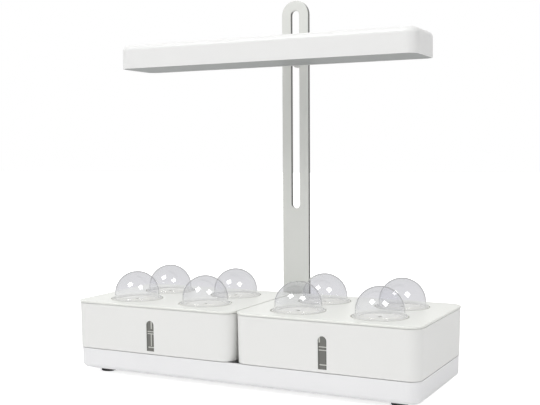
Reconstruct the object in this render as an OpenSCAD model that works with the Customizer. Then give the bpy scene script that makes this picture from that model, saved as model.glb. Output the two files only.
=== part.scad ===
// Countertop hydroponic garden, in millimetres. +Z is up and the front faces -Y.
// Two water tanks with lids, planting baskets and clear domes stand on a low base.
// A slotted post behind them carries a long grow lamp, clamped at any height.
// The origin lies on the table top, below the middle of the whole object.

/* [Tank block] */
// Length over both lids
block_w = 431; // [400:1:460]
// Depth over the lids
block_d = 165; // [156:1:176]
// Radius of the upright corners
corner_r = 15; // [12:1:20]
// Gap between the two lids
lid_gap = 2; // [0.4:0.1:3]
// How far a lid stands out past its tank
lid_over = 0.5; // [0.3:0.1:1.5]
// Slope of the tank and base walls from upright, in degrees
wall_slope = 1; // [1:0.1:2.5]
// Height of a tank from the base seam to the lid seam
tank_h = 54.4; // [48:0.1:60]
// Wall of the tanks and lids
wall = 2.4; // [2:0.1:3]
// Thickness of a lid
lid_t = 2.2; // [1.7:0.1:2.4]

/* [Base] */
// Height of the base above its feet
base_h = 24.7; // [22:0.1:30]
// Wall of the base
base_wall = 3; // [2.5:0.1:3.5]
// Radius of the base's bottom edge
base_edge_r = 6; // [3:0.5:8]
// Height of a foot
foot_h = 6; // [3:0.5:8]
// Diameter of a foot
foot_d = 19; // [16:1:26]

/* [Planting places] */
// Distance between planting holes along the length
pod_pitch_x = 96.2; // [90:0.1:98]
// Distance between planting holes along the depth
pod_pitch_y = 74; // [70:0.1:78]
// Diameter of the recess in the lid
recess_d = 63; // [60:0.5:66]
// Depth of the recess
recess_depth = 2.6; // [2.4:0.1:3]
// Gap round a basket's flange in its recess
flange_gap = 1.5; // [0.5:0.1:2]
// Diameter of a dome
dome_d = 54; // [48:0.5:55]
// Height of a dome over its rim
dome_h = 32.8; // [30:0.1:36]
// Wall of a dome
dome_wall = 1.2; // [1:0.1:1.6]
// Depth of a basket below its flange
basket_h = 40; // [32:1:44]
// Slots around a basket
basket_slots = 10; // [6:1:12]

/* [Level windows] */
// Width of a window
window_w = 10; // [8:0.5:12]
// Height of a window
window_h = 35.5; // [30:0.1:38]

/* [Post] */
// Width of the post
post_w = 36; // [32:0.5:40]
// Thickness of the post
post_t = 5; // [4:0.5:6]
// Width of the slot
slot_w = 11; // [10:0.5:16]
// Height of the post's top above the table
post_top = 451.8; // [430:0.1:470]
// Height of the slot's lower end above the table
slot_low = 193.5; // [160:1:220]

/* [Lamp] */
// Length of the lamp
lamp_w = 381; // [360:1:400]
// Depth of the lamp
lamp_d = 71.2; // [66:0.1:76]
// Height of the lamp's housing
lamp_h = 29.2; // [28:0.1:34]
// Height of the lamp's underside above the table
lamp_z = 367.5; // [300:0.1:370]
// Radius of the lamp's upright corners
lamp_corner_r = 12.5; // [10:0.5:18]
// Radius of the lamp's top edge
lamp_edge_r = 7; // [4:0.5:9]
// Diameter of the clamp knob
knob_d = 36; // [30:1:42]

/* [Hidden] */
$fn = 64;
SIDES = ["left", "right"];
PODS = [1:8];

// Points in a rounded edge, and a little length that lets cutters run past a face
arc_steps = 8;
past = 1;
// Gaps: between loose parts, beside a sliding part, and round a turning one
loose = 0.3;
slide_gap = 0.05;
touch_gap = 0.1;

// Heights above the table
base_z = foot_h;
tank_z = base_z + base_h;
lid_z = tank_z + tank_h;
lid_top = lid_z + lid_t;

// Half sizes of a lid, of a tank at its top and bottom, and of the base at its top
lid_hx = (block_w - lid_gap) / 4;
lid_hy = block_d / 2;
tank_x = lid_hx + lid_gap / 2;
tank_hx = lid_hx - lid_over;
tank_hy = lid_hy - lid_over;
tank_in = inward(tank_h);
base_step = 0.3;
base_hx = tank_x + tank_hx - tank_in - base_step;
base_hy = tank_hy - tank_in - base_step;
base_in = inward(base_h);

// A foot stands on each corner's flat
foot_x = 185.5;
foot_y = 56;

// The spigot under a tank drops into the base and stands on its ribs
spigot_h = 5;
spigot_hx = tank_hx - tank_in - base_step - base_wall - 0.6;
spigot_hy = base_hy - base_wall - 0.6;
spigot_in = inward(spigot_h);
spigot_r = corner_r - base_wall - 1;
seam = 0.5;
tank_floor_z = tank_z - spigot_h;
rib_t = 2;
rib_pitch = 50;

// The shadow step under the lid, and the lid's locating skirt
rim_step = 1;
rim_h = 1;
skirt_h = 6;
skirt_t = 1.8;
lid_edge_r = 0.8;

// Planting places, counted from the left: front and rear of each column
pod_hole_d = 50;
collar_t = 2;
collar_h = 7;
seat_t = 1.6;
flange_t = recess_depth + 0.1;
flange_z = lid_top - recess_depth;
basket_top_d = 48;
basket_low_d = 36;
basket_wall = 1.5;
slot_gap = 4;
root_hole_d = 12;
sponge_h = 26;
seed_hole_d = 5;
dome_rim_d = recess_d - 2 * flange_gap - 1;

// Level windows
window_low = 3.5;
window_lip = 2.5;
window_foot = 0.5;
window_t = 1.2;
window_inset = 0.4;
seal_t = 0.8;
mark_w = 5;
mark_t = 0.9;
// Heights of the level marks as shares of the window: full, full, low
level_marks = [0.62, 0.55, 0.14];

// The post stands behind the lids, in a socket on the base's rear
post_y = lid_hy + 2.5;
post_low = base_z + base_edge_r + 3;
post_edge = 0.8;
strip_w = (post_w - slot_w) / 2;
slot_z0 = slot_low + slot_w / 2;
slot_z1 = post_top - post_w / 2;
socket_w = post_w + 14;
socket_back = 4;
socket_top = 64;
socket_gap = 0.1;
post_screw_d = 4;

// Lamp
lamp_y = 14.5;
lamp_wall = 2.4;
lamp_top = lamp_z + lamp_h;
lamp_roof = lamp_top - lamp_wall;
lamp_rear = lamp_y + lamp_d / 2;
diffuser_t = 1.8;
rebate_h = 2.2;
led_z = lamp_z + 7.6;
board_t = 1.6;
led_w = 352;
led_d = 56;
led_cols = 18;
led_rows = 3;
boss_d = 7;
boss_x = 150;
boss_y = 21;
screw_d = 2.6;
head_d = 5.4;
head_h = 1.8;

// Control board with its button and inlet
control_x = 60;
control_y = lamp_y + 9;
control_z = led_z + 3.6;
control_w = 56;
control_d = 40;
control_boss = 22;
button_d = 12;
button_y = control_y - 12;
button_flange = 1;
button_play = 0.2;
button_proud = 1.2;
button_travel = 1.2;
inlet_d = 8;
inlet_r = 2.75;
inlet_depth = 9;
inlet_z = control_z + board_t + 4.6;

// Arm and clamp
arm_h = 18;
arm_z = lamp_z + 7;
arm_wide = 56;
arm_w = 34;
pad_h = 30;
pad_t = 4;
clamp_z = arm_z - 2 + pad_h / 2;
bolt_d = 6;
bolt_head_y = lamp_rear + 2;
washer_t = 1.6;
knob_t = 15.4;
insert_d = 9;
insert_l = 10;
post_back = post_y + post_t;
washer_y = post_back + touch_gap;
knob_y = washer_y + washer_t + touch_gap;
rear_reach = knob_y + knob_t;

// Moves the tank block's middle so that the whole object is centred on the origin
block_y = (lid_hy - rear_reach) / 2;

// How far a sloping wall leans in over height h, to the nearest hundredth
function inward(h) = round(h * tan(wall_slope) * 100) / 100;
function side_sign(side) = side == "left" ? -1 : 1;
function pod_x(k) = (k <= 4 ? -1 : 1) * tank_x + (k % 4 == 1 || k % 4 == 2 ? -1 : 1) * pod_pitch_x / 2;
function pod_y(k) = (k % 2 == 1 ? -1 : 1) * pod_pitch_y / 2;

// Points of a quarter or part circle, first and last point included
function arc(cx, cy, r, from, to, steps = arc_steps) =
    [for (i = [0:steps]) let (t = from + (to - from) * i / steps) [cx + r * cos(t), cy + r * sin(t)]];

// Half section of a wall that leans out by lean over height h and has a rounded bottom edge
function wall_profile(w, h, lean, r) =
    let (a = atan(lean / h), cx = w - lean + r * tan(a) - r / cos(a))
    concat([[0, 0]], arc(cx, r, r, -90, -a), [[w, h], [0, h]]);

// Box with upright rounded corners, leaning walls and a rounded bottom edge, standing on z = 0.
// hx, hy are its half sizes at the top.
module leaning_box(hx, hy, h, corner, lean, edge) {
    x = hx - corner;
    y = hy - corner;
    points = wall_profile(corner, h, lean, edge);
    for (sx = [-1, 1], sy = [-1, 1])
        translate([sx * x, sy * y, 0]) rotate_extrude() polygon(points);
    for (turn = [0, 180])
        rotate(turn) {
            translate([x, y, 0]) rotate([90, 0, 0]) linear_extrude(2 * y) polygon(points);
            translate([-x, y, 0]) rotate([90, 0, 90]) linear_extrude(2 * x) polygon(points);
        }
    translate([-x, -y, 0]) cube([2 * x, 2 * y, h]);
}

// Box with upright rounded corners and straight walls
module plain_box(hx, hy, h, corner) {
    for (sx = [-1, 1], sy = [-1, 1])
        translate([sx * (hx - corner), sy * (hy - corner), 0]) cylinder(r = corner, h = h);
    translate([corner - hx, -hy, 0]) cube([2 * (hx - corner), 2 * hy, h]);
    translate([-hx, corner - hy, 0]) cube([2 * hx, 2 * (hy - corner), h]);
}

// Pan-head screw along +Z, head on top of z = 0, with a cross recess
module pan_screw(d, length, head = head_d, high = head_h) {
    difference() {
        union() {
            rotate_extrude() polygon(concat([[0, 0], [head / 2, 0]],
                arc(head / 2 - high * 0.7, high * 0.3, high * 0.7, 0, 90, 4), [[0, high]]));
            translate([0, 0, -length]) cylinder(d = d, h = length);
        }
        for (turn = [0, 90])
            rotate(turn) translate([-head * 0.28, -head * 0.06, high * 0.45])
                cube([head * 0.56, head * 0.12, high]);
    }
}

// ---- Base ----

// One-piece moulded tub: the ribs inside carry the tanks, the socket behind holds the post
module base_tray() {
    cavity_hx = base_hx - base_wall;
    cavity_hy = base_hy - base_wall;
    color("white") translate([0, block_y, base_z]) difference() {
        union() {
            difference() {
                leaning_box(base_hx, base_hy, base_h - seam, corner_r, base_in, base_edge_r);
                translate([0, 0, base_wall])
                    leaning_box(cavity_hx, cavity_hy, base_h, corner_r - base_wall, base_in,
                                base_edge_r - base_wall);
            }
            base_ribs(cavity_hx, cavity_hy);
            post_socket();
        }
        translate([0, 0, post_low - base_z])
            translate([-post_w / 2 - socket_gap, post_y - socket_gap, 0])
                cube([post_w + 2 * socket_gap, post_t + 2 * socket_gap, socket_top]);
        for (z = post_screw_heights())
            translate([0, post_y, z - base_z]) rotate([-90, 0, 0])
                cylinder(d = post_screw_d, h = 30);
    }
}

module base_ribs(hx, hy) {
    rib_h = tank_floor_z - base_z - base_wall + past;
    for (sx = [-1, 1], i = [0:3])
        translate([sx * (rib_pitch * i + 26) - rib_t / 2, 2 - hy, base_wall - past])
            cube([rib_t, 2 * (hy - 2), rib_h]);
    for (y = [-40, 0, 40])
        translate([2 - hx, y - rib_t / 2, base_wall - past]) cube([2 * (hx - 2), rib_t, rib_h]);
}

// Block behind the rear wall and the tall plate that backs the post
module post_socket() {
    block_low = base_edge_r;
    y0 = base_hy - base_wall;
    back = post_y + post_t + socket_back;
    r = 8;
    translate([-socket_w / 2, y0, block_low])
        cube([socket_w, back - y0, base_h - block_low - seam]);
    rotate([90, 0, 0]) translate([0, 0, -back]) linear_extrude(socket_back) polygon(concat(
        [[-socket_w / 2, block_low], [socket_w / 2, block_low]],
        arc(socket_w / 2 - r, socket_top - base_z - r, r, 0, 90),
        arc(r - socket_w / 2, socket_top - base_z - r, r, 90, 180)));
}

function post_screw_heights() = [22, 50];

module post_screws() {
    color("silver") for (z = post_screw_heights())
        translate([0, block_y + post_back + socket_back, z]) rotate([-90, 0, 0])
            pan_screw(post_screw_d - 0.1, socket_back + post_t - past, 8, 2.6);
}

// Rubber foot with a rounded lower edge
module foot(sx, sy) {
    edge = 1.2;
    color("dimgray") translate([sx * foot_x, block_y + sy * foot_y, 0])
        rotate_extrude() polygon(concat([[0, 0]], arc(foot_d / 2 - edge, edge, edge, -90, 0, 4),
            [[foot_d / 2, foot_h], [0, foot_h]]));
}

// ---- Post ----

// Section of one leg of the post, with all four edges rounded
function strip_section(w) = concat(
    arc(w / 2 - post_edge, post_t / 2 - post_edge, post_edge, 0, 90, 3),
    arc(post_edge - w / 2, post_t / 2 - post_edge, post_edge, 90, 180, 3),
    arc(post_edge - w / 2, post_edge - post_t / 2, post_edge, 180, 270, 3),
    arc(w / 2 - post_edge, post_edge - post_t / 2, post_edge, 270, 360, 3));

module light_post() {
    ring_r = (slot_w + strip_w) / 2;
    color("lightgray") translate([0, block_y + post_y + post_t / 2, 0]) difference() {
        union() {
            for (sx = [-1, 1])
                translate([sx * ring_r, 0, slot_z0]) linear_extrude(slot_z1 - slot_z0)
                    polygon(strip_section(strip_w));
            translate([0, 0, slot_z1]) rotate([90, 0, 0]) rotate_extrude(angle = 180)
                translate([ring_r, 0]) polygon(strip_section(strip_w));
            translate([0, 0, post_low]) linear_extrude(slot_z0 - post_low)
                polygon(strip_section(post_w));
        }
        translate([0, 0, slot_z0]) rotate([90, 0, 0]) rotate_extrude() polygon(slot_end_section());
        for (z = post_screw_heights())
            translate([0, -post_t, z]) rotate([-90, 0, 0])
                cylinder(d = post_screw_d, h = 2 * post_t);
    }
}

// Cutter for the slot's lower end: the slot's radius, flared at both faces
function slot_end_section() = let (r = slot_w / 2, half = post_t / 2) concat(
    [[0, -half - past], [r + post_edge, -half - past]],
    arc(r + post_edge, post_edge - half, post_edge, 270, 180, 3),
    arc(r + post_edge, half - post_edge, post_edge, 180, 90, 3),
    [[r + post_edge, half + past], [0, half + past]]);

// ---- Tanks ----

// Outline of a window, round at the top: w wide, h high, standing on y = 0
module window_outline(w, h) {
    translate([0, h - w / 2]) circle(d = w);
    translate([-w / 2, 0]) square([w, h - w / 2]);
}

// Puts a window's pieces on the leaning front wall: x across, y up, z out of the wall
module on_front_wall() {
    translate([0, tank_in - tank_hy, 0]) rotate([90 - wall_slope, 0, 0]) children();
}

module tank(side) {
    sx = side_sign(side);
    color("white") translate([sx * tank_x, block_y, 0]) difference() {
        union() {
            translate([0, 0, tank_z])
                leaning_box(tank_hx, tank_hy, tank_h - rim_h, corner_r, tank_in, 1);
            translate([0, 0, lid_z - rim_h - past])
                plain_box(tank_hx - rim_step, tank_hy - rim_step, rim_h + past, corner_r - rim_step);
            translate([0, 0, tank_floor_z])
                leaning_box(spigot_hx, spigot_hy, spigot_h + past, spigot_r, spigot_in, 1);
        }
        translate([0, 0, tank_z + wall])
            leaning_box(tank_hx - wall, tank_hy - wall, tank_h, corner_r - wall, tank_in, 0.5);
        translate([0, 0, tank_floor_z + wall])
            leaning_box(spigot_hx - wall, spigot_hy - wall, spigot_h + past, spigot_r - wall,
                        spigot_in, 2);
        translate([0, 0, tank_z]) on_front_wall()
            translate([0, window_low, -2 * wall]) linear_extrude(4 * wall)
                window_outline(window_w, window_h);
    }
}

// Clear window: a pane in the cut-out with raised level marks, and a lip inside the wall
module level_window(side) {
    color("gray") translate([side_sign(side) * tank_x, block_y, tank_z]) on_front_wall() {
        translate([0, window_low + loose / 2, -wall - seal_t])
            linear_extrude(wall + seal_t - window_inset)
                window_outline(window_w - loose, window_h - loose);
        translate([0, 0, -wall - seal_t - window_t]) linear_extrude(window_t) window_lip_outline();
        for (mark = level_marks)
            translate([-mark_w / 2, window_low + mark * window_h, -window_inset - past])
                cube([mark_w, mark_t, past + window_inset / 2]);
    }
}

module window_lip_outline() {
    translate([0, window_low - window_foot])
        window_outline(window_w + 2 * window_lip, window_h + window_foot + window_lip);
}

module window_seal(side) {
    color("dimgray") translate([side_sign(side) * tank_x, block_y, tank_z]) on_front_wall()
        translate([0, 0, -wall - seal_t]) linear_extrude(seal_t) difference() {
            window_lip_outline();
            translate([0, window_low]) window_outline(window_w, window_h);
        }
}

// ---- Lids ----

module lid(side) {
    sx = side_sign(side);
    pods = side == "left" ? [1:4] : [5:8];
    color("white") translate([0, block_y, 0]) difference() {
        union() {
            translate([sx * tank_x, 0, lid_top]) mirror([0, 0, 1])
                leaning_box(lid_hx, lid_hy, lid_t, corner_r, 0, lid_edge_r);
            lid_skirt(sx);
            for (k = pods)
                translate([pod_x(k), pod_y(k), 0]) {
                    translate([0, 0, lid_z - collar_h])
                        cylinder(d = pod_hole_d + 2 * collar_t, h = collar_h + past);
                    translate([0, 0, flange_z - seat_t])
                        cylinder(d = recess_d + 2 * collar_t, h = lid_z - flange_z + seat_t + past);
                }
        }
        for (k = pods)
            translate([pod_x(k), pod_y(k), 0]) {
                translate([0, 0, flange_z]) cylinder(d = recess_d, h = recess_depth + past);
                translate([0, 0, lid_z - collar_h - past]) cylinder(d = pod_hole_d, h = 20);
            }
    }
}

module lid_skirt(sx) {
    hx = tank_hx - wall - 2 * loose;
    hy = tank_hy - wall - 2 * loose;
    r = corner_r - wall - 2 * loose;
    translate([sx * tank_x, 0, lid_z - skirt_h]) difference() {
        plain_box(hx, hy, skirt_h + past, r);
        translate([0, 0, -past]) plain_box(hx - skirt_t, hy - skirt_t, skirt_h + past, r - skirt_t);
    }
}

// ---- Baskets, sponges and domes ----

// Slotted net basket: a flange in the lid's recess over a tapered cup
module grow_basket(k) {
    top_r = basket_top_d / 2;
    low_r = basket_low_d / 2;
    slot_low_z = 6;
    color("white") translate([pod_x(k), pod_y(k) + block_y, flange_z]) difference() {
        union() {
            cylinder(d = recess_d - 2 * flange_gap, h = flange_t);
            translate([0, 0, -basket_h]) cylinder(r1 = low_r, r2 = top_r, h = basket_h);
        }
        translate([0, 0, basket_wall - basket_h])
            cylinder(r1 = low_r - basket_wall, r2 = top_r - basket_wall, h = basket_h);
        cylinder(r = top_r - basket_wall, h = flange_t + past);
        translate([0, 0, -basket_h - past]) cylinder(d = root_hole_d, h = 4 * basket_wall);
        for (i = [1:basket_slots])
            rotate(360 / basket_slots * i)
                translate([root_hole_d / 2 + 3, -slot_gap / 2, slot_low_z - basket_h - past]) {
                    cube([top_r, slot_gap, basket_h - slot_low_z - 8]);
                    translate([0, 0, -slot_low_z])
                        cube([low_r - root_hole_d / 2 - 6, slot_gap, slot_low_z]);
                }
    }
}

// Sponge plug that fills the basket's mouth, with a seed hole in its top
module grow_sponge(k) {
    lean = (basket_top_d - basket_low_d) / 2 * sponge_h / basket_h;
    r = basket_top_d / 2 - basket_wall - loose;
    top = flange_z + flange_t - 0.5;
    color("beige") translate([pod_x(k), pod_y(k) + block_y, top - sponge_h]) difference() {
        cylinder(r1 = r - lean, r2 = r, h = sponge_h);
        translate([0, 0, sponge_h - 14]) cylinder(d = seed_hole_d, h = 20);
    }
}

// Clear dome: half ball on a short skirt with an out-turned rim
module dome(k) {
    r = dome_d / 2;
    ri = r - dome_wall;
    skirt = dome_h - r;
    fillet = 1.5;
    color("lightblue") translate([pod_x(k), pod_y(k) + block_y, flange_z + flange_t])
        rotate_extrude() polygon(concat([[ri, 0], [dome_rim_d / 2, 0], [dome_rim_d / 2, dome_wall]],
            arc(r + fillet, dome_wall + fillet, fillet, 270, 180, 4),
            arc(0, skirt, r, 0, 90, 20), arc(0, skirt, ri, 90, 0, 20)));
}

// ---- Lamp ----

module lamp_housing() {
    color("white") translate([0, block_y, 0]) difference() {
        union() {
            translate([0, lamp_y, lamp_top]) mirror([0, 0, 1]) difference() {
                leaning_box(lamp_w / 2, lamp_d / 2, lamp_h, lamp_corner_r, 0, lamp_edge_r);
                translate([0, 0, lamp_wall])
                    leaning_box(lamp_w / 2 - lamp_wall, lamp_d / 2 - lamp_wall, lamp_h,
                        lamp_corner_r - lamp_wall, 0, lamp_edge_r - lamp_wall);
            }
            lamp_bosses(boss_d, 0);
        }
        translate([0, lamp_y, lamp_z - past])
            plain_box(lamp_w / 2 - lamp_wall / 2, lamp_d / 2 - lamp_wall / 2, rebate_h + past,
                lamp_corner_r - lamp_wall / 2);
        lamp_bosses(screw_d, past);
        translate([control_x, button_y, lamp_roof - past])
            cylinder(d = button_d + 2 * loose, h = 2 * lamp_wall);
        translate([control_x, lamp_rear, inlet_z]) rotate([90, 0, 0])
            cylinder(d = inlet_d + 0.4, h = 2 * lamp_wall, center = true);
        for (sx = [-1, 1])
            translate([sx * 18, lamp_rear, arm_z + arm_h / 2]) rotate([90, 0, 0])
                cylinder(d = post_screw_d, h = 3 * lamp_wall, center = true);
    }
}

// Bosses from the roof down to both boards, or with less diameter and more depth their pilot holes
module lamp_bosses(d, deeper) {
    for (x = [-boss_x, 0, boss_x], sy = [-1, 1])
        translate([x, lamp_y + sy * boss_y, led_z + board_t - deeper])
            cylinder(d = d, h = lamp_roof - led_z - board_t + (deeper > 0 ? -1 : past));
    for (sx = [-1, 1])
        translate([control_x + sx * control_boss, control_y, control_z + board_t - deeper])
            cylinder(d = d, h = lamp_roof - control_z - board_t + (deeper > 0 ? -1 : past));
}

module lamp_diffuser() {
    fit = lamp_wall / 2 + 0.2;
    color("gray") translate([0, lamp_y + block_y, lamp_z + rebate_h - diffuser_t])
        plain_box(lamp_w / 2 - fit, lamp_d / 2 - fit, diffuser_t, lamp_corner_r - fit);
}

module led_board() {
    color("silver") translate([0, block_y, 0]) difference() {
        translate([-led_w / 2, lamp_y - led_d / 2, led_z]) cube([led_w, led_d, board_t]);
        for (x = [-boss_x, 0, boss_x], sy = [-1, 1])
            translate([x, lamp_y + sy * boss_y, led_z - past]) cylinder(d = screw_d + 0.4, h = 4);
    }
}

module led_emitters() {
    size = [3.5, 2.8, 0.8];
    pitch_x = led_w / led_cols;
    pitch_y = 15;
    color("khaki") for (i = [1:led_cols], j = [1:led_rows])
        translate([pitch_x * (i - (led_cols + 1) / 2) - size.x / 2,
                   block_y + lamp_y + pitch_y * (j - (led_rows + 1) / 2) - size.y / 2,
                   led_z - size.z]) cube(size);
}

// Timer board: the button's switch and a driver coil stand on it
module control_board() {
    switch_top = lamp_roof - button_play - button_flange - button_travel - touch_gap;
    z = control_z + board_t;
    color("green") translate([0, block_y, 0]) difference() {
        union() {
            translate([control_x - control_w / 2, control_y - control_d / 2, control_z])
                cube([control_w, control_d, board_t]);
            translate([control_x - 3, button_y - 3, z]) cube([6, 6, switch_top - 2 - z]);
            translate([control_x, button_y, z]) cylinder(d = 3.4, h = switch_top - z);
            translate([control_x - 14, control_y + 8, z]) cylinder(d = 10, h = 6);
        }
        for (sx = [-1, 1])
            translate([control_x + sx * control_boss, control_y, control_z - past])
                cylinder(d = screw_d + 0.4, h = 4);
    }
}

// Button cap with a flange that keeps it in the housing
module power_button() {
    flange_z = lamp_roof - button_play - button_flange;
    cap_h = lamp_top + button_proud - flange_z;
    edge = 0.8;
    color("gainsboro") translate([control_x, button_y + block_y, flange_z]) {
        cylinder(d = button_d + 3, h = button_flange);
        rotate_extrude() polygon(concat([[0, 0], [button_d / 2, 0]],
            arc(button_d / 2 - edge, cap_h - edge, edge, 0, 90, 3), [[0, cap_h]]));
    }
}

// Barrel socket: its mouth is flush with the lamp's rear wall
module dc_inlet() {
    body = [9, 11, 9];
    color("dimgray") translate([control_x, lamp_rear + block_y, inlet_z]) difference() {
        union() {
            rotate([90, 0, 0]) cylinder(d = inlet_d, h = lamp_wall + past);
            translate([-body.x / 2, -lamp_wall - 0.2 - body.y, -body.z / 2]) cube(body);
        }
        rotate([90, 0, 0]) translate([0, 0, -past]) cylinder(r = inlet_r, h = inlet_depth + past);
    }
}

module lamp_screws() {
    color("silver") translate([0, block_y, 0]) {
        for (x = [-boss_x, 0, boss_x], sy = [-1, 1])
            translate([x, lamp_y + sy * boss_y, led_z]) mirror([0, 0, 1])
                pan_screw(screw_d - 0.1, 10);
        for (sx = [-1, 1])
            translate([control_x + sx * control_boss, control_y, control_z]) mirror([0, 0, 1])
                pan_screw(screw_d - 0.1, 6);
    }
}

// ---- Arm and clamp ----

// Moulded arm: it narrows from the lamp's rear to a pad on the post, with a tongue in the slot
module lamp_arm() {
    reach = post_y - touch_gap - lamp_rear;
    half = function (t) arm_w / 2 + (arm_wide - arm_w) / 2 * (1 + cos(180 * t)) / 2;
    steps = 12;
    color("white") translate([0, block_y + lamp_rear, 0]) difference() {
        union() {
            translate([0, 0, arm_z]) linear_extrude(arm_h) polygon(concat(
                [for (i = [0:steps]) [half(i / steps), reach * i / steps]],
                [for (i = [steps:-1:0]) [-half(i / steps), reach * i / steps]]));
            arm_pad(reach);
            guide_tongue(reach);
        }
        translate([0, -past, clamp_z]) rotate([-90, 0, 0]) cylinder(d = bolt_d + 0.1, h = 60);
        translate([0, -past, clamp_z]) rotate([-90, 0, 0])
            cylinder(d = 12.2, h = bolt_head_y - lamp_rear + 4 + past, $fn = 6);
        for (sx = [-1, 1])
            translate([sx * 18, -past, arm_z + arm_h / 2]) rotate([-90, 0, 0])
                cylinder(d = post_screw_d, h = 13);
    }
}

module arm_pad(reach) {
    r = 5;
    z0 = clamp_z - pad_h / 2;
    rotate([90, 0, 0]) translate([0, 0, -reach]) linear_extrude(pad_t) polygon(concat(
        arc(arm_w / 2 - r, z0 + pad_h - r, r, 0, 90), arc(r - arm_w / 2, z0 + pad_h - r, r, 90, 180),
        arc(r - arm_w / 2, z0 + r, r, 180, 270), arc(arm_w / 2 - r, z0 + r, r, 270, 360)));
}

// Tongue with round ends that runs in the post's slot and keeps the lamp level
module guide_tongue(reach) {
    r = slot_w / 2 - slide_gap;
    deep = touch_gap + post_t - 0.4;
    translate([0, reach - past, 0]) rotate([-90, 0, 0]) linear_extrude(deep + past) {
        for (s = [-1, 1])
            translate([0, -clamp_z + s * (pad_h / 2 - r)]) circle(r = r);
        translate([-r, -clamp_z - (pad_h / 2 - r)]) square([2 * r, pad_h - 2 * r]);
    }
}

module arm_screws() {
    color("silver") for (sx = [-1, 1])
        translate([sx * 18, lamp_rear - lamp_wall + block_y, arm_z + arm_h / 2])
            rotate([90, 0, 0]) pan_screw(post_screw_d - 0.1, 12, 7.5, 2.4);
}

// Hexagon-head bolt from inside the arm, through the tongue, the washer and the knob
module clamp_bolt() {
    color("silver") translate([0, block_y + bolt_head_y, clamp_z]) rotate([-90, 0, 0]) {
        cylinder(d = 12, h = 4, $fn = 6);
        cylinder(d = bolt_d, h = knob_y + insert_l + 0.5 - bolt_head_y);
    }
}

module clamp_washer() {
    color("silver") translate([0, block_y + washer_y, clamp_z]) rotate([-90, 0, 0])
        linear_extrude(washer_t) difference() {
            circle(d = 24);
            circle(d = bolt_d + 0.2);
        }
}

// Fluted knob with a rounded outer edge
module clamp_knob() {
    hub = 3;
    edge = 3;
    flutes = 9;
    r = knob_d / 2;
    color("white") translate([0, block_y + knob_y, clamp_z]) rotate([-90, 0, 0]) difference() {
        rotate_extrude() polygon(concat([[0, 0], [9, 0], [9, hub], [r - 1, hub], [r, hub + 1]],
            arc(r - edge, knob_t - edge, edge, 0, 90, 5), [[0, knob_t]]));
        translate([0, 0, -past]) cylinder(d = insert_d, h = insert_l + past);
        translate([0, 0, insert_l - past]) cylinder(d = bolt_d + 0.4, h = past + 1.2);
        for (i = [1:flutes])
            rotate(360 / flutes * i) translate([r + 2.2, 0, hub - past]) cylinder(d = 8, h = knob_t);
    }
}

// Brass nut moulded into the knob
module knob_insert() {
    color("goldenrod") translate([0, block_y + knob_y, clamp_z]) rotate([-90, 0, 0])
        linear_extrude(insert_l) difference() {
            circle(d = insert_d);
            circle(d = bolt_d + 2 * slide_gap);
        }
}

base_tray();
for (sx = [-1, 1], sy = [-1, 1]) {
    name = str("foot_", sy < 0 ? "front" : "rear", "_", sx < 0 ? "left" : "right");
    foot(sx, sy);
}
light_post();
post_screws();
for (side = SIDES) {
    tank(side);
    level_window(side);
    window_seal(side);
    lid(side);
}
for (k = PODS) {
    grow_basket(k);
    grow_sponge(k);
    dome(k);
}
lamp_housing();
lamp_diffuser();
led_board();
led_emitters();
control_board();
power_button();
dc_inlet();
lamp_screws();
lamp_arm();
arm_screws();
clamp_bolt();
clamp_washer();
clamp_knob();
knob_insert();
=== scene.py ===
from math import cos, pi, radians, sin, tan

import bmesh
import bpy
from mathutils import Matrix, Vector


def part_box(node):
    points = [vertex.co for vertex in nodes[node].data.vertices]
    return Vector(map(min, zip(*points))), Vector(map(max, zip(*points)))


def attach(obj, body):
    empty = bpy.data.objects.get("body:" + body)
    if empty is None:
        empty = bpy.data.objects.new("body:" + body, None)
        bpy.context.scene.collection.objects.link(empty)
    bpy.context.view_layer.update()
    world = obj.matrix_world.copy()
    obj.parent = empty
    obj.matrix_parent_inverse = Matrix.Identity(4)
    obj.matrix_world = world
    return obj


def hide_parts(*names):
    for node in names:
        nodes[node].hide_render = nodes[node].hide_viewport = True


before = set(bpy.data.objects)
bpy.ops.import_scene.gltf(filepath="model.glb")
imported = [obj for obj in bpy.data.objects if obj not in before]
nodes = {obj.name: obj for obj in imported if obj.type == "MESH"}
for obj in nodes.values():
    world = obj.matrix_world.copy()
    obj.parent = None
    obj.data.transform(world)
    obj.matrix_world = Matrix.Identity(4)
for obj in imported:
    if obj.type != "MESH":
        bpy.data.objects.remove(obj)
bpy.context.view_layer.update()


# Base tray: a one-piece injection moulding in white ABS that carries both tanks. Its tool was
# spark-eroded, which leaves a fine satin grain, and the moulding runs a little cooler in tone
# than the tanks above it. Four black rubber feet are pressed into its floor.
def linear(code):
    """Linear red, green, blue and alpha of an sRGB hex colour."""
    parts = (int(code[i:i + 2], 16) / 255 for i in (0, 2, 4))
    return [c / 12.92 if c <= 0.04045 else ((c + 0.055) / 1.055) ** 2.4 for c in parts] + [1.0]


def add_node(owner, kind, inputs=None, **settings):
    """Adds one node to a material or world, with its settings, values and links."""
    made = owner.node_tree.nodes.new(kind)
    for name, value in settings.items():
        setattr(made, name, value)
    for name, value in (inputs or {}).items():
        if isinstance(value, bpy.types.NodeSocket):
            owner.node_tree.links.new(value, made.inputs[name])
        else:
            made.inputs[name].default_value = value
    return made


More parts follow.
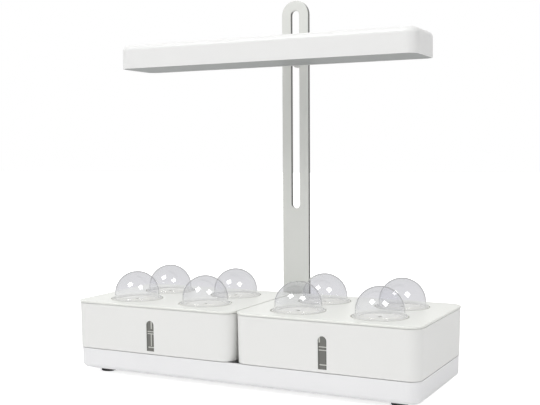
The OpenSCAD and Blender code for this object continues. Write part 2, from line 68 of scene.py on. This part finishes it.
def moulded_plastic(name, pale, deep, roughness, grain=0.0005, depth=0.00002, ior=1.54):
    """Injection-moulded plastic: a slow drift of tone from pale to deep over 90 mm, where the
    melt cooled unevenly, and the tool's grain, drawn coarser than its real 0.1 mm to show.
    Grain is its width and depth its height, in metres."""
    drift_width, gloss_spread = 0.09, 0.05
    material = bpy.data.materials.new(name)
    material.use_nodes = True
    shader = material.node_tree.nodes["Principled BSDF"]
    place = add_node(material, "ShaderNodeTexCoord").outputs["Object"]
    drift = add_node(material, "ShaderNodeTexNoise", {
        "Vector": place, "Scale": 1 / drift_width, "Detail": 3.0})
    tone = add_node(material, "ShaderNodeMix", {"Factor": drift.outputs["Fac"]}, data_type="RGBA")
    tone.inputs["A"].default_value = linear(deep)
    tone.inputs["B"].default_value = linear(pale)
    fine = add_node(material, "ShaderNodeTexNoise", {
        "Vector": place, "Scale": 1 / grain, "Detail": 2.0})
    gloss = add_node(material, "ShaderNodeMapRange", {
        "Value": fine.outputs["Fac"],
        "To Min": roughness - gloss_spread, "To Max": roughness + gloss_spread})
    bump = add_node(material, "ShaderNodeBump", {
        "Height": fine.outputs["Fac"], "Strength": 0.5, "Distance": depth})
    links = material.node_tree.links
    links.new(tone.outputs["Result"], shader.inputs["Base Color"])
    links.new(gloss.outputs["Result"], shader.inputs["Roughness"])
    links.new(bump.outputs["Normal"], shader.inputs["Normal"])
    shader.inputs["IOR"].default_value = ior
    return material


def dress(material, *names):
    """Gives CAD nodes their finish."""
    for name in names:
        for place in nodes[name].material_slots:
            place.material = material


base_abs = moulded_plastic("white_abs_spark_textured_cool", "F0F0F1", "EDEDEE", 0.42)
dress(base_abs, "base_tray")
foot_rubber = moulded_plastic("black_rubber_matt", "343434", "2B2B2B", 0.75, 0.0008, 0.00005, 1.52)
dress(foot_rubber, *[f"foot_{y}_{x}" for y in ("front", "rear") for x in ("left", "right")])


# Light post: a flat aluminium bar with a long slot, rounded at the top. Its faces are coated in
# a satin pale grey that shows a little orange peel. Its sawn edges and the slot's walls, which
# face sideways, are darkened with painted shade.
post_coat = moulded_plastic(
    "pale_grey_satin_coating", "E0E1DD", "DCDDD9", 0.40, 0.0016, 0.00002, 1.5)
facing = add_node(post_coat, "ShaderNodeSeparateXYZ", {
    0: add_node(post_coat, "ShaderNodeTexCoord").outputs["Normal"]})
sideways = add_node(post_coat, "ShaderNodeMath", {0: facing.outputs["X"]}, operation="ABSOLUTE")
edge = add_node(post_coat, "ShaderNodeMapRange", {
    "Value": sideways.outputs["Value"], "From Min": 0.5, "From Max": 0.9})
coat = post_coat.node_tree.nodes["Principled BSDF"].inputs["Base Color"]
# Painted shade: faces turned along X go towards dark grey.
painted_edge_shade = add_node(post_coat, "ShaderNodeMix", {"Factor": edge.outputs["Result"]}, data_type="RGBA")
post_coat.node_tree.links.new(coat.links[0].from_socket, painted_edge_shade.inputs["A"])
painted_edge_shade.inputs["B"].default_value = linear("626260")
post_coat.node_tree.links.new(painted_edge_shade.outputs["Result"], coat)
dress(post_coat, "light_post")


# Screws, clamp bolt and washer: steel with a bright nickel plating. Handling left faint smears
# on it, some 1.5 mm wide, which show as a slow change of polish.
nickel = bpy.data.materials.new("steel_nickel_plated")
nickel.use_nodes = True
steel = nickel.node_tree.nodes["Principled BSDF"]
steel.inputs["Base Color"].default_value = linear("C9C7C2")
steel.inputs["Metallic"].default_value = 1.0
smear = add_node(nickel, "ShaderNodeTexNoise", {
    "Vector": add_node(nickel, "ShaderNodeTexCoord").outputs["Object"],
    "Scale": 700.0, "Detail": 3.0})
polish = add_node(nickel, "ShaderNodeMapRange", {
    "Value": smear.outputs["Fac"], "To Min": 0.18, "To Max": 0.38})
nickel.node_tree.links.new(polish.outputs["Result"], steel.inputs["Roughness"])
dress(nickel, "post_screws", "lamp_screws", "arm_screws", "clamp_bolt", "clamp_washer")


# Water tanks: two drafted mouldings in a slightly warmer white ABS, with a dark grey silicone
# seal behind each level window.
tank_abs = moulded_plastic("white_abs_spark_textured_warm", "EDEDEB", "EAEAE8", 0.42)
dress(tank_abs, "tank_left", "tank_right")
seal_rubber = moulded_plastic("grey_silicone_seal", "4A4A48", "424240", 0.6, 0.0008, 0.00003, 1.41)
dress(seal_rubber, "window_seal_left", "window_seal_right")


# Level windows: clear polystyrene panes set just below the front wall's face. Their dark grey is
# painted shade for the closed tank behind them, with more painted shade along both sides. The
# level marks stand up from the pane and are hot-stamped pale; their upright lines are painted
# highlights.
def new_piece(name, shape, *materials):
    """Puts a bmesh into the scene as an object, with its materials in order."""
    mesh = bpy.data.meshes.new(name)
    shape.to_mesh(mesh)
    shape.free()
    for material in materials:
        mesh.materials.append(material)
    piece = bpy.data.objects.new(name, mesh)
    bpy.context.scene.collection.objects.link(piece)
    return piece


window_ps = bpy.data.materials.new("clear_polystyrene_painted_dark_interior")
window_ps.use_nodes = True
pane_look = window_ps.node_tree.nodes["Principled BSDF"]
pane_look.inputs["IOR"].default_value = 1.59
across = add_node(window_ps, "ShaderNodeSeparateXYZ", {
    0: add_node(window_ps, "ShaderNodeUVMap", uv_map="pane").outputs["UV"]})
# Painted shade: the tank's dark inside, darkest at both sides of the pane.
shade = add_node(window_ps, "ShaderNodeValToRGB", {"Fac": across.outputs["X"]})
left_edge, right_edge = shade.color_ramp.elements
left_edge.position, left_edge.color = 0.10, linear("474844")
right_edge.position, right_edge.color = 0.92, linear("464641")
for stop in (0.34, 0.70):
    shade.color_ramp.elements.new(stop).color = linear("6B6B66")
window_ps.node_tree.links.new(shade.outputs["Color"], pane_look.inputs["Base Color"])
flow = add_node(window_ps, "ShaderNodeTexNoise", {
    "Vector": add_node(window_ps, "ShaderNodeTexCoord").outputs["Object"],
    "Scale": 400.0, "Detail": 2.0})
cloud = add_node(window_ps, "ShaderNodeMapRange", {
    "Value": flow.outputs["Fac"], "To Min": 0.08, "To Max": 0.22})
window_ps.node_tree.links.new(cloud.outputs["Result"], pane_look.inputs["Roughness"])
# Pale print for the ticks and the low mark, painted highlight for the upright lines.
foil_and_highlight = moulded_plastic("hot_stamp_foil_and_painted_highlight", "C6C6C0", "BCBCB6", 0.35, 0.0006, 0.00001, 1.5)

draft = tan(radians(1))
sunk, pane_thick = 0.0004, 0.001
mark_thick, mark_rise = 0.0005, 0.00028
# Marks of each pane, as shares of its width from and to and of its height from and to: two
# level ticks, the low mark, and upright lines that are painted highlights.
marks = {
    "left": ((0.27, 0.96, 0.600, 0.627), (0.27, 0.96, 0.535, 0.561), (0.33, 0.98, 0.118, 0.152),
             (0.56, 0.64, 0.175, 0.535), (0.57, 0.68, 0.690, 0.956)),
    "right": ((0.25, 0.95, 0.627, 0.654), (0.25, 0.95, 0.537, 0.563), (0.30, 0.86, 0.130, 0.160),
              (0.24, 0.34, 0.760, 0.957))}
for side in ("left", "right"):
    low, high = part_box(f"level_window_{side}")
    tank_low, tank_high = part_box(f"tank_{side}")
    wide, tall = high.x - low.x, high.z - low.z
    half = wide / 2
    arch = [(half + half * cos(turn), tall - half + half * sin(turn))
            for turn in (radians(10 * i) for i in range(19))]
    pane = bmesh.new()
    uv = pane.loops.layers.uv.new("pane")
    front = pane.faces.new([pane.verts.new((x, 0, z)) for x, z in [(0, 0), (wide, 0)] + arch])
    pushed = bmesh.ops.extrude_face_region(pane, geom=[front])["geom"]
    back = [v for v in pushed if isinstance(v, bmesh.types.BMVert)]
    bmesh.ops.translate(pane, verts=back, vec=(0, pane_thick, 0))
    bmesh.ops.recalc_face_normals(pane, faces=pane.faces[:])
    for face in pane.faces:
        for loop in face.loops:
            loop[uv].uv = (loop.vert.co.x / wide, loop.vert.co.z / tall)
    blocks = bmesh.new()
    for x0, x1, z0, z1 in marks[side]:
        size = Matrix.Diagonal(((x1 - x0) * wide, mark_thick, (z1 - z0) * tall, 1))
        centre = ((x0 + x1) / 2 * wide, mark_thick / 2 - mark_rise, (z0 + z1) / 2 * tall)
        bmesh.ops.create_cube(blocks, size=1, matrix=Matrix.Translation(centre) @ size)
    for name, shape, look in ((f"painted_shade_pane_{side}", pane, window_ps),
                              (f"level_marks_and_highlights_{side}", blocks, foil_and_highlight)):
        for vert in shape.verts:
            z = low.z + vert.co.z
            wall_face = tank_low.y + (tank_high.z - z) * draft
            vert.co = (low.x + vert.co.x, wall_face + sunk + vert.co.y, z)
        piece = new_piece(name, shape, look)
        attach(piece, f"tank_{side}_body")
    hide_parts(f"level_window_{side}")


# Lids: flat white mouldings with a rounded upper edge and four round recesses each. Their tool
# was polished finer than the tanks', so they shine a little more.
lid_abs = moulded_plastic("white_abs_fine_grain", "EEEFEA", "EAEBE6", 0.38)
dress(lid_abs, "lid_left", "lid_right")


# Planting baskets and sponges: slotted natural-white polypropylene cups, each with a plug of
# pale open-cell foam that holds the seed. The foam's cells, 1.2 mm wide, dent its surface, and
# painted shade darkens it where they sink in.
basket_pp = moulded_plastic(
    "natural_polypropylene", "F0F0EC", "EBEBE7", 0.35, 0.0006, 0.00001, 1.49)
dress(basket_pp, *[f"grow_basket_{k}" for k in range(1, 9)])
cell_width, cell_depth = 0.0012, 0.0004
foam = bpy.data.materials.new("open_cell_foam")
foam.use_nodes = True
sponge = foam.node_tree.nodes["Principled BSDF"]
cells = add_node(foam, "ShaderNodeTexVoronoi", {
    "Vector": add_node(foam, "ShaderNodeTexCoord").outputs["Object"], "Scale": 1 / cell_width})
# Painted shade: the foam goes darker where its cells sink in.
cell_painted_shade = add_node(foam, "ShaderNodeValToRGB", {"Fac": cells.outputs["Distance"]})
cell_painted_shade.color_ramp.elements[0].color = linear("E2E2DC")
cell_painted_shade.color_ramp.elements[1].color = linear("F2F2EC")
dent = add_node(foam, "ShaderNodeBump", {
    "Height": cells.outputs["Distance"], "Strength": 0.8, "Distance": cell_depth})
foam.node_tree.links.new(cell_painted_shade.outputs["Color"], sponge.inputs["Base Color"])
foam.node_tree.links.new(dent.outputs["Normal"], sponge.inputs["Normal"])
sponge.inputs["Roughness"].default_value = 0.95
dress(foam, *[f"grow_sponge_{k}" for k in range(1, 9)])


# Germination domes: thin clear polystyrene half balls on a short skirt, with an out-turned rim
# that rests on the basket's flange. Their facets are fine, so that reflections run smoothly
# over them, and the wall's thickness shows as a dark line round each dome's outline.
def clear_skin(name, middle, limb, shine):
    """One skin of a thin clear wall: light passes straight on, tinted middle where the skin faces
    the eye and limb where it turns away, and its outside mirrors the room, shine times as much
    as one bare surface."""
    skin = bpy.data.materials.new(name)
    skin.use_nodes = True
    skin.node_tree.nodes.remove(skin.node_tree.nodes["Principled BSDF"])
    slant = add_node(skin, "ShaderNodeLayerWeight", {"Blend": 0.5})
    tint = add_node(skin, "ShaderNodeValToRGB", {"Fac": slant.outputs["Facing"]})
    inside, outline_end = tint.color_ramp.elements
    inside.position, inside.color = 0.64, linear(middle)
    outline_end.position, outline_end.color = 0.90, linear(limb)
    through = add_node(skin, "ShaderNodeBsdfRefraction", {
        "Color": tint.outputs["Color"], "Roughness": 0.0, "IOR": 1.0})
    mirror = add_node(skin, "ShaderNodeBsdfAnisotropic", {
        "Color": (1, 1, 1, 1), "Roughness": 0.0})
    outside = add_node(skin, "ShaderNodeMath", {
        0: 1.0, 1: add_node(skin, "ShaderNodeNewGeometry").outputs["Backfacing"]},
        operation="SUBTRACT")
    bare = add_node(skin, "ShaderNodeMath", {
        0: add_node(skin, "ShaderNodeFresnel", {"IOR": 1.59}).outputs["Fac"],
        1: outside.outputs["Value"]}, operation="MULTIPLY")
    share = add_node(skin, "ShaderNodeMath", {
        0: bare.outputs["Value"], 1: shine}, operation="MULTIPLY", use_clamp=True)
    wall = add_node(skin, "ShaderNodeMixShader", {
        0: share.outputs["Value"], 1: through.outputs["BSDF"], 2: mirror.outputs["BSDF"]})
    way = add_node(skin, "ShaderNodeLightPath")
    passing = add_node(skin, "ShaderNodeMath", {
        0: way.outputs["Is Shadow Ray"], 1: way.outputs["Is Diffuse Ray"]}, operation="MAXIMUM")
    open_air = add_node(skin, "ShaderNodeBsdfTransparent", {"Color": linear(middle)})
    clear = add_node(skin, "ShaderNodeMixShader", {
        0: passing.outputs["Value"], 1: wall.outputs["Shader"], 2: open_air.outputs["BSDF"]})
    skin.node_tree.links.new(
        clear.outputs["Shader"], skin.node_tree.nodes["Material Output"].inputs["Surface"])
    return skin


outer_skin = clear_skin("clear_polystyrene_polished", "FAFAFC", "A0A0A2", 1.8)
inner_skin = clear_skin("clear_polystyrene_inside", "FEFEFE", "FEFEFE", 0.0)
rim_skin = clear_skin("clear_polystyrene_rim", "FCFCFC", "FAFAFA", 1.0)

outer, wall, fillet = 0.027, 0.0012, 0.0015
inner = outer - wall
soft, crease = 0.0004, 0.0001
arc_steps, turn_steps = 30, 96
quarter = [radians(90 / arc_steps * i) for i in range(arc_steps + 1)]
for k in range(1, 9):
    low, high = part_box(f"dome_{k}")
    middle = (low + high) / 2
    rim, height = (high.x - low.x) / 2, high.z - low.z
    skirt = height - outer
    outline = [(outer * cos(t), skirt + outer * sin(t)) for t in reversed(quarter)]
    outline[0] = (0.0, height)
    outline += [(outer + fillet - fillet * cos(t), wall + fillet - fillet * sin(t))
                for t in (radians(18 * i) for i in range(6))]
    outline += [(rim - soft, wall), (rim - crease, wall - crease), (rim, wall - soft),
                (rim, soft), (rim - crease, crease), (rim - soft, 0.0), (inner, 0.0)]
    outline += [(inner * cos(t), skirt + inner * sin(t)) for t in quarter]
    outline[-1] = (0.0, skirt + inner)
    shape = bmesh.new()
    points = [shape.verts.new((x, 0, z)) for x, z in outline]
    edges = [shape.edges.new(pair) for pair in zip(points, points[1:])]
    bmesh.ops.spin(shape, geom=points + edges, cent=(0, 0, 0), axis=(0, 0, 1), angle=2 * pi,
                   steps=turn_steps, use_merge=True, use_duplicate=False)
    bmesh.ops.remove_doubles(shape, verts=shape.verts[:], dist=0.00001)
    bmesh.ops.recalc_face_normals(shape, faces=shape.faces[:])
    for face in shape.faces:
        face.smooth = True
        spot = face.calc_center_median()
        inward = face.normal.dot(spot - Vector((0, 0, skirt))) < 0
        on_rim = spot.z < wall + fillet and (spot.xy.length > outer or face.normal.z < -0.5)
        face.material_index = 2 if on_rim else int(inward)
    bmesh.ops.translate(shape, verts=shape.verts[:], vec=(middle.x, middle.y, low.z))
    dome = new_piece(f"clear_dome_{k}", shape, outer_skin, inner_skin, rim_skin)
    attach(dome, f"dome_{k}_body")
    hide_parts(f"dome_{k}")


# Lamp: a long white ABS shell, closed underneath by a frosted acrylic panel that is grey while
# the lamp is off.
lamp_abs = moulded_plastic("white_abs_spark_textured", "EAEAE9", "E7E7E6", 0.40)
dress(lamp_abs, "lamp_housing", "lamp_arm")
frosted = moulded_plastic("frosted_acrylic_unlit", "969998", "909392", 0.5, 0.0009, 0.00003, 1.49)
dress(frosted, "lamp_diffuser")


# Inside the lamp: an aluminium-core board with rows of phosphor-coated emitters, and the timer
# board in green solder mask. The button and the socket are the parts of it that come out.
dress(moulded_plastic("white_solder_mask", "F2F2EE", "ECECE8", 0.3), "led_board")
dress(moulded_plastic("phosphor_silicone", "E8D27A", "E0C86E", 0.4), "led_emitters")
dress(moulded_plastic("green_solder_mask", "2C6B3F", "245C35", 0.3), "control_board")
dress(moulded_plastic("grey_abs_satin", "D6D7D5", "D2D3D1", 0.35), "power_button")
dress(moulded_plastic("black_nylon", "2E2E2F", "262627", 0.45), "dc_inlet")


# Clamp knob: a fluted white grip, moulded round an insert that is turned from brass and runs
# on the bolt.
dress(moulded_plastic("white_abs_knob", "EFEFEE", "EBEBEA", 0.40), "clamp_knob")
brass = bpy.data.materials.new("turned_brass")
brass.use_nodes = True
insert = brass.node_tree.nodes["Principled BSDF"]
insert.inputs["Base Color"].default_value = linear("C9A553")
insert.inputs["Metallic"].default_value = 1.0
insert.inputs["Roughness"].default_value = 0.3
dress(brass, "knob_insert")


# The photographer's table: a sweep of white paper that runs to the horizon. The eye sees it
# burnt out to white, while a soft shadow stays under the part.
def backdrop_rays(owner, shine):
    """1 for the camera's rays and shine for those off or through rough surfaces, which see the
    white backdrop too. Polished clear plastic shows the sweep's own grey instead."""
    rays = add_node(owner, "ShaderNodeLightPath")
    bent = add_node(owner, "ShaderNodeMath", {
        0: rays.outputs["Is Glossy Ray"], 1: rays.outputs["Is Transmission Ray"]},
        operation="MAXIMUM")
    rough = add_node(owner, "ShaderNodeMath", {
        0: bent.outputs["Value"], 1: rays.outputs["Is Singular Ray"]}, operation="SUBTRACT")
    part = add_node(owner, "ShaderNodeMath", {
        0: rough.outputs["Value"], 1: shine}, operation="MULTIPLY")
    both = add_node(owner, "ShaderNodeMath", {
        0: rays.outputs["Is Camera Ray"], 1: part.outputs["Value"]}, operation="MAXIMUM")
    return both.outputs["Value"]


paper = bpy.data.materials.new("white_paper_sweep")
paper.use_nodes = True
sheet = paper.node_tree.nodes["Principled BSDF"]
sheet.inputs["Base Color"].default_value = linear("F2F2F2")
sheet.inputs["Roughness"].default_value = 0.9
sheet.inputs["Emission Color"].default_value = (1, 1, 1, 1)
away_from_part = add_node(paper, "ShaderNodeVectorMath", {
    0: add_node(paper, "ShaderNodeTexCoord").outputs["Object"]}, operation="LENGTH")
glow = add_node(paper, "ShaderNodeMapRange", {
    "Value": away_from_part.outputs["Value"], "From Min": 0.2, "From Max": 0.6,
    "To Min": 0.75, "To Max": 1.0})
lift = add_node(paper, "ShaderNodeMath", {
    0: backdrop_rays(paper, 0.2), 1: glow.outputs["Result"]}, operation="MULTIPLY")
paper.node_tree.links.new(lift.outputs["Value"], sheet.inputs["Emission Strength"])
half_width = 12
sweep = bmesh.new()
bmesh.ops.create_grid(sweep, x_segments=1, y_segments=1, size=half_width)
floor = new_piece("floor", sweep, paper)


# The room: an even white fill, which the clear domes show a shade darker than the rest does.
# Light comes from two soft panels high up in front, and two square softboxes lower down show
# as a pair of highlights in every dome.
fill_strength, dome_shade = 0.656, -0.07
world = bpy.data.worlds.new("white_studio")
bpy.context.scene.world = world
world.use_nodes = True
world.node_tree.nodes.clear()
grey = add_node(world, "ShaderNodeMath", {
    0: add_node(world, "ShaderNodeLightPath").outputs["Is Singular Ray"],
    1: dome_shade, 2: fill_strength}, operation="MULTIPLY_ADD")
fill = add_node(world, "ShaderNodeBackground", {
    "Color": (1, 1, 1, 1), "Strength": grey.outputs["Value"]})
backdrop = add_node(world, "ShaderNodeBackground", {"Color": (1, 1, 1, 1), "Strength": 1.0})
mixed = add_node(world, "ShaderNodeMixShader", {
    0: backdrop_rays(world, 1.0),
    1: fill.outputs["Background"], 2: backdrop.outputs["Background"]})
add_node(world, "ShaderNodeOutputWorld", {"Surface": mixed.outputs["Shader"]})

# Each light's degrees from the front and up, distance and side in metres, turn and watts.
aim = Vector((0, -0.01, 0.12))
for name, azimuth, elevation, distance, side, turn, watts in (
        ("softbox_left", -23, 45, 2.0, 0.74, 55, 12.0),
        ("softbox_right", 53, 37, 2.0, 0.74, 35, 12.0),
        ("high_front", 0, 62, 2.2, 1.2, 0, 17.5),
        ("high_left", -50, 65, 2.2, 1.0, 0, 5.0)):
    panel = bpy.data.lights.new(name, "AREA")
    panel.shape, panel.size, panel.energy = "SQUARE", side, watts
    light = bpy.data.objects.new(name, panel)
    a, e = radians(azimuth), radians(elevation)
    away = Vector((sin(a) * cos(e), -cos(a) * cos(e), sin(e)))
    facing_part = (-away).to_track_quat("-Z", "Y").to_matrix()
    turned = facing_part @ Matrix.Rotation(radians(turn), 3, "Z")
    light.matrix_world = Matrix.Translation(aim + away * distance) @ turned.to_4x4()
    light.visible_diffuse = "softbox" not in name
    light.visible_glossy = "softbox" in name
    bpy.context.scene.collection.objects.link(light)


# Camera: it stands to the right of the middle, a little above the lids, and looks slightly
# down. Its place and lens were solved from the edges in the photograph.
place = Vector((0.49873, -0.98666, 0.25891))
yaw, pitch, roll = radians(26.787), radians(2.838), radians(-0.313)
focal_pixels, picture_pixels, sensor_width = 934.1, 540, 36
ahead = Vector((-sin(yaw) * cos(pitch), cos(yaw) * cos(pitch), -sin(pitch)))
level = Vector((cos(yaw), sin(yaw), 0))
above = level.cross(ahead)
right = cos(roll) * level + sin(roll) * above
up = cos(roll) * above - sin(roll) * level
camera = bpy.data.objects.new("camera", bpy.data.cameras.new("camera"))
camera.data.sensor_width = sensor_width
camera.data.lens = focal_pixels / picture_pixels * sensor_width
camera.matrix_world = (
    Matrix.Translation(place) @ Matrix((right, up, -ahead)).transposed().to_4x4())
bpy.context.scene.collection.objects.link(camera)
bpy.context.scene.camera = camera
bpy.context.scene.view_settings.view_transform = "Standard"
